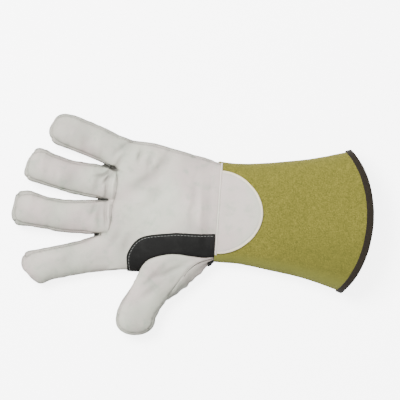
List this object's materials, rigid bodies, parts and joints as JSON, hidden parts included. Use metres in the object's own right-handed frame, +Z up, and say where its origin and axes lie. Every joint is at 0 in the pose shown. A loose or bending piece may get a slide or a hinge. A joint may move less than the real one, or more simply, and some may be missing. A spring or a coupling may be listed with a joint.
{
  "type": "welding glove",
  "caption": "Left-hand TIG welding glove lying palm up, with a flared gauntlet cuff, set-in finger fronts, separate thumb, wrist patch and a reinforced thumb opening.",
  "frame": {"origin": "centre of the bounding box at its bottom, where the glove lies on the floor", "axes": "+X from the fingertips towards the cuff's opening, +Y towards the little finger's side, +Z up from the back of the hand to the palm"},
  "size_m": [0.3586, 0.2162, 0.0492],
  "materials": {
    "grain_leather": "smooth white grain leather, satin",
    "black_leather": "matt black",
    "suede": "split leather, olive yellow, matt",
    "binding": "dark brown tape, matt"
  },
  "bodies": {
    "root": {"palm": "grain_leather", "finger_fronts": "grain_leather", "hand_back": "grain_leather", "side_little_ring": "grain_leather", "side_ring_middle": "grain_leather", "side_middle_index": "grain_leather", "thumb_front": "grain_leather", "thumb_back": "grain_leather", "thumb_strap": "black_leather", "wrist_welt": "grain_leather", "wrist_patch": "grain_leather", "cuff": "suede", "cuff_binding": "binding"}
  },
  "joints": []
}
